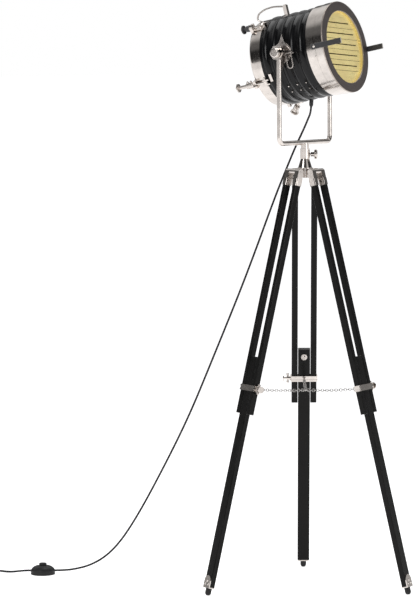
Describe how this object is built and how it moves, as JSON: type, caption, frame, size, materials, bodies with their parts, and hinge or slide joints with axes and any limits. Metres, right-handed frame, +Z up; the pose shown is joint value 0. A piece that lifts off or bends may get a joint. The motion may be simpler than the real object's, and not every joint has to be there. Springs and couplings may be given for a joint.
{
  "type": "floor_lamp",
  "caption": "Tripod floor lamp with a ribbed black spotlight head, polished bands, gold louvre, U-shaped yoke, extending black legs on chains and an inline foot switch",
  "frame": {"origin": "on the floor under the mast axis", "axes": "+Z up, +X to the picture's right, +Y away from the camera; the head looks to +X and a little towards the camera"},
  "size_m": [1.0975, 0.461, 1.4081],
  "materials": {
    "black_paint": "satin",
    "rail_black": "satin",
    "nickel": "polished",
    "brushed_nickel": "satin",
    "steel": "satin",
    "gunmetal": "satin",
    "dark_steel": "matte",
    "gold": "polished",
    "rubber_black": "matte",
    "cord_black": "satin",
    "switch_black": "matte",
    "plug_black": "matte",
    "frosted_glass": "matte",
    "ceramic": "gloss"
  },
  "bodies": {
    "stand": {"hub": "brushed_nickel", "mast_socket": "brushed_nickel", "hinge_pins": "nickel", "chain_ring": "steel", "cord_floor": "cord_black", "cord_tail": "cord_black", "cord_coil": "cord_black", "switch_base": "switch_black", "switch_cover": "switch_black", "plug": "plug_black"},
    "leg_back_upper": {"leg_back_rails": "rail_black", "leg_back_ferrule": "brushed_nickel", "leg_back_clamp": "nickel", "leg_back_chain": "steel"},
    "leg_back_lower": {"leg_back_lower": "rail_black", "leg_back_foot_plate": "nickel", "leg_back_foot": "rubber_black"},
    "clamp_knob_back": {"leg_back_clamp_knob": "nickel"},
    "leg_left_upper": {"leg_left_rails": "rail_black", "leg_left_ferrule": "brushed_nickel", "leg_left_clamp": "nickel", "leg_left_chain": "steel"},
    "leg_left_lower": {"leg_left_lower": "rail_black", "leg_left_foot_plate": "nickel", "leg_left_foot": "rubber_black"},
    "clamp_knob_left": {"leg_left_clamp_knob": "nickel"},
    "leg_right_upper": {"leg_right_rails": "rail_black", "leg_right_ferrule": "brushed_nickel", "leg_right_clamp": "nickel", "leg_right_chain": "steel"},
    "leg_right_lower": {"leg_right_lower": "rail_black", "leg_right_foot_plate": "nickel", "leg_right_foot": "rubber_black"},
    "clamp_knob_right": {"leg_right_clamp_knob": "nickel"},
    "thumbscrew": {"mast_thumbscrew": "nickel"},
    "yoke": {"yoke": "brushed_nickel", "cord_yoke": "cord_black"},
    "head": {"head_body": "black_paint", "head_bulb": "frosted_glass", "head_face_ring": "gunmetal", "head_front_band": "nickel", "head_gland": "rubber_black", "head_handle": "nickel", "head_lamp_holder": "ceramic", "head_louvre": "gold", "head_rear_cap": "dark_steel", "head_rear_ring": "nickel", "head_reflector": "gold", "head_rivets": "nickel", "head_side_bars": "dark_steel", "head_swing_bolts": "nickel", "head_trunnion_plates": "nickel", "cord_head": "cord_black"},
    "trunnion_knob_near": {"trunnion_knob_near": "nickel"},
    "trunnion_knob_far": {"trunnion_knob_far": "nickel"},
    "wing_nut_a": {"head_wing_nut_a": "nickel"},
    "wing_nut_b": {"head_wing_nut_b": "dark_steel"},
    "wing_nut_c": {"head_wing_nut_c": "nickel"},
    "wing_nut_d": {"head_wing_nut_d": "nickel"},
    "switch_button": {"switch_button": "switch_black"}
  },
  "joints": [
    {"name": "leg_back_fold", "type": "hinge", "parent": "stand", "child": "leg_back_upper", "pos_m": [0, 0.03, 1.003], "axis": [-1, 0, 0], "range_deg": [0, 11], "deforming": ["leg_back_chain"]},
    {"name": "leg_back_extend", "type": "slide", "parent": "leg_back_upper", "child": "leg_back_lower", "axis": [0, 0.2385, -0.9711], "range_m": [-0.38, 0.04]},
    {"name": "clamp_knob_back_turn", "type": "hinge", "parent": "leg_back_upper", "child": "clamp_knob_back", "pos_m": [-0.045, 0.15626, 0.48898], "axis": [-1, 0, 0], "continuous": true},
    {"name": "leg_left_fold", "type": "hinge", "parent": "stand", "child": "leg_left_upper", "pos_m": [-0.02598, -0.015, 1.003], "axis": [0.5, -0.866, 0], "range_deg": [0, 11], "deforming": ["leg_left_chain"]},
    {"name": "leg_left_extend", "type": "slide", "parent": "leg_left_upper", "child": "leg_left_lower", "axis": [-0.2066, -0.1193, -0.9711], "range_m": [-0.38, 0.04]},
    {"name": "clamp_knob_left_turn", "type": "hinge", "parent": "leg_left_upper", "child": "clamp_knob_left", "pos_m": [-0.11282, -0.1171, 0.48898], "axis": [0.5, -0.866, 0], "continuous": true},
    {"name": "leg_right_fold", "type": "hinge", "parent": "stand", "child": "leg_right_upper", "pos_m": [0.02598, -0.015, 1.003], "axis": [0.5, 0.866, 0], "range_deg": [0, 11], "deforming": ["leg_right_chain"]},
    {"name": "leg_right_extend", "type": "slide", "parent": "leg_right_upper", "child": "leg_right_lower", "axis": [0.2066, -0.1193, -0.9711], "range_m": [-0.38, 0.04]},
    {"name": "clamp_knob_right_turn", "type": "hinge", "parent": "leg_right_upper", "child": "clamp_knob_right", "pos_m": [0.15782, -0.03916, 0.48898], "axis": [0.5, 0.866, 0], "continuous": true},
    {"name": "thumbscrew_turn", "type": "hinge", "parent": "stand", "child": "thumbscrew", "pos_m": [0.02, 0, 1.044], "axis": [1, 0, 0], "continuous": true},
    {"name": "yoke_pan", "type": "hinge", "parent": "stand", "child": "yoke", "pos_m": [0, 0, 1.06], "axis": [0, 0, 1], "range_deg": [-90, 90]},
    {"name": "head_tilt", "type": "hinge", "parent": "yoke", "child": "head", "pos_m": [0, 0, 1.287], "axis": [-0.5075, -0.8616, 0], "range_deg": [-60, 40]},
    {"name": "trunnion_knob_near_turn", "type": "hinge", "parent": "yoke", "child": "trunnion_knob_near", "pos_m": [-0.07105, -0.12063, 1.287], "axis": [-0.5075, -0.8616, 0], "continuous": true},
    {"name": "trunnion_knob_far_turn", "type": "hinge", "parent": "yoke", "child": "trunnion_knob_far", "pos_m": [0.07105, 0.12063, 1.287], "axis": [0.5075, 0.8616, 0], "continuous": true},
    {"name": "wing_nut_a_turn", "type": "hinge", "parent": "head", "child": "wing_nut_a", "pos_m": [-0.1201, -0.04404, 1.21174], "axis": [-0.8458, 0.4982, -0.1908], "continuous": true},
    {"name": "wing_nut_b_turn", "type": "hinge", "parent": "head", "child": "wing_nut_b", "pos_m": [-0.12783, -0.00578, 1.34589], "axis": [-0.8458, 0.4982, -0.1908], "continuous": true},
    {"name": "wing_nut_c_turn", "type": "hinge", "parent": "head", "child": "wing_nut_c", "pos_m": [-0.02093, 0.08199, 1.14725], "axis": [-0.3316, 0.5679, -0.7534], "continuous": true},
    {"name": "wing_nut_d_turn", "type": "hinge", "parent": "head", "child": "wing_nut_d", "pos_m": [-0.03628, 0.13615, 1.31068], "axis": [-0.8458, 0.4982, -0.1908], "continuous": true},
    {"name": "switch_press", "type": "slide", "parent": "stand", "child": "switch_button", "axis": [0, 0, -1], "range_m": [0, 0.003], "stiffness_N_per_m": 400, "springref_m": -0.001}
  ]
}
